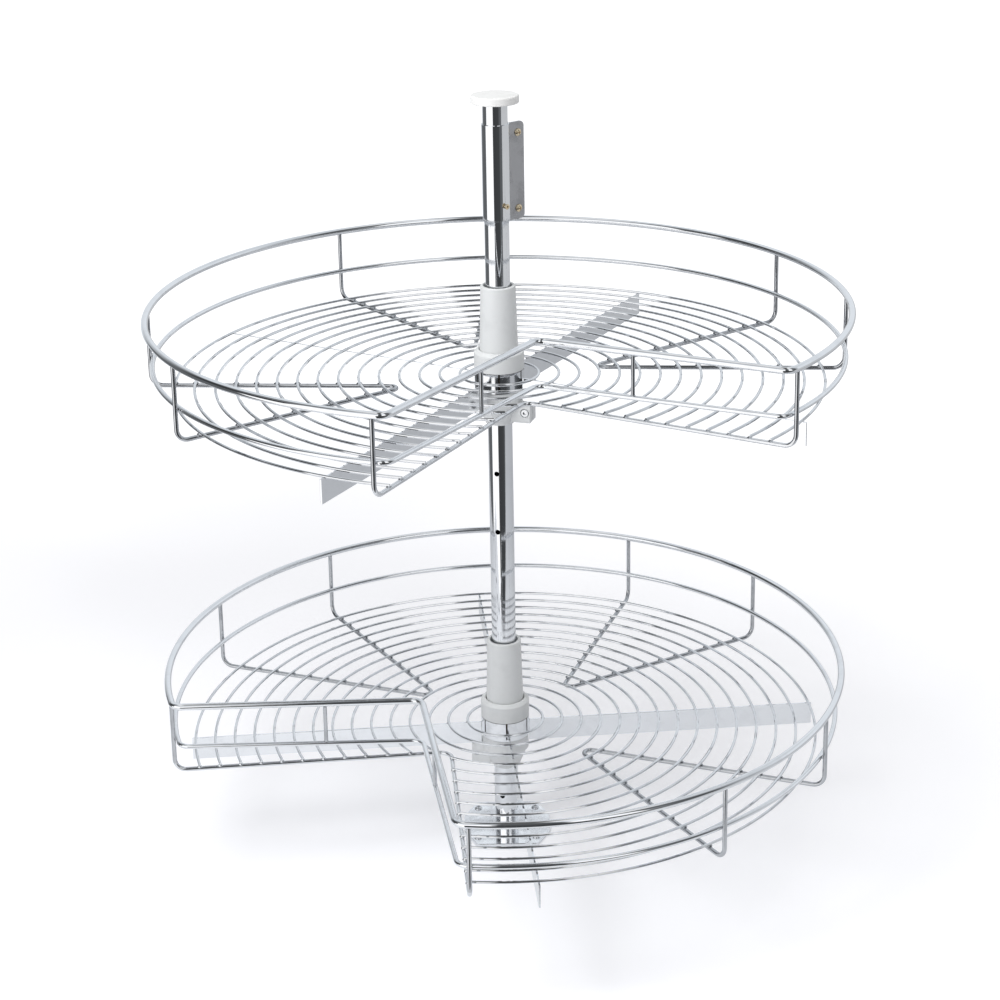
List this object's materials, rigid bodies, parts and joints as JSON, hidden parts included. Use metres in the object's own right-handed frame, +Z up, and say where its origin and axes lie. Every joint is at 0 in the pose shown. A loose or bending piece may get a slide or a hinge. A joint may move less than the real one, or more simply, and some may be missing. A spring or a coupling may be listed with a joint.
{
  "type": "corner carousel",
  "caption": "Free-turning three-quarter wire baskets on a chrome pole with floor plate and wall bracket, for the inside of a corner cupboard.",
  "frame": {"origin": "centre of the floor plate's underside, on the pole's axis", "axes": "+Z up along the pole, +X to the picture's right, +Y away from its camera"},
  "size_m": [0.7113, 0.7113, 0.8],
  "materials": {
    "chrome": "bright chrome plate on steel wire, tube and sheet",
    "galvanised": "dull zinc-plated strip",
    "brass": "yellow-passivated screws",
    "grey_plastic": "satin moulded plastic, light grey",
    "white_plastic": "satin moulded plastic, off-white"
  },
  "bodies": {
    "stand": {"floor_plate": "chrome", "floor_screw_1": "chrome", "floor_screw_2": "chrome", "floor_screw_3": "chrome", "floor_screw_4": "chrome", "pole_tube": "chrome", "top_cap": "white_plastic"},
    "bracket": {"wall_bracket": "chrome", "bracket_screw_1": "brass", "bracket_screw_2": "brass", "bracket_set_screw": "brass"},
    "lower_stop": {"lower_stop_collar": "grey_plastic", "lower_stop_screw": "galvanised"},
    "lower_basket": {"lower_top_rim": "chrome", "lower_middle_rail": "chrome", "lower_floor_grille": "chrome", "lower_inner_ring_1": "chrome", "lower_inner_ring_2": "chrome", "lower_inner_ring_3": "chrome", "lower_hairpin_1": "chrome", "lower_hairpin_2": "chrome", "lower_hairpin_3": "chrome", "lower_cut_post_1": "chrome", "lower_cut_post_2": "chrome", "lower_arm_1": "galvanised", "lower_arm_2": "galvanised", "lower_arm_3": "galvanised", "lower_arm_4": "galvanised", "lower_hub_sleeve": "grey_plastic", "lower_hub_collar": "grey_plastic", "lower_hub_ring": "chrome"},
    "upper_stop": {"upper_stop_collar": "grey_plastic", "upper_stop_screw": "galvanised"},
    "upper_basket": {"upper_top_rim": "chrome", "upper_middle_rail": "chrome", "upper_floor_grille": "chrome", "upper_inner_ring_1": "chrome", "upper_inner_ring_2": "chrome", "upper_inner_ring_3": "chrome", "upper_hairpin_1": "chrome", "upper_hairpin_2": "chrome", "upper_hairpin_3": "chrome", "upper_cut_post_1": "chrome", "upper_cut_post_2": "chrome", "upper_arm_1": "galvanised", "upper_arm_2": "galvanised", "upper_arm_3": "galvanised", "upper_arm_4": "galvanised", "upper_hub_sleeve": "grey_plastic", "upper_hub_collar": "grey_plastic", "upper_hub_ring": "chrome"}
  },
  "joints": [
    {"name": "bracket_turn", "type": "hinge", "parent": "stand", "child": "bracket", "pos_m": [0, 0, 0.72], "axis": [0, 0, 1], "continuous": true},
    {"name": "lower_height", "type": "slide", "parent": "stand", "child": "lower_stop", "axis": [0, 0, 1], "range_m": [-0.06, 0.06]},
    {"name": "upper_height", "type": "slide", "parent": "stand", "child": "upper_stop", "axis": [0, 0, 1], "range_m": [-0.06, 0.06]},
    {"name": "lower_turn", "type": "hinge", "parent": "lower_stop", "child": "lower_basket", "pos_m": [0, 0, 0.2], "axis": [0, 0, 1], "continuous": true},
    {"name": "upper_turn", "type": "hinge", "parent": "upper_stop", "child": "upper_basket", "pos_m": [0, 0, 0.587], "axis": [0, 0, 1], "continuous": true}
  ]
}
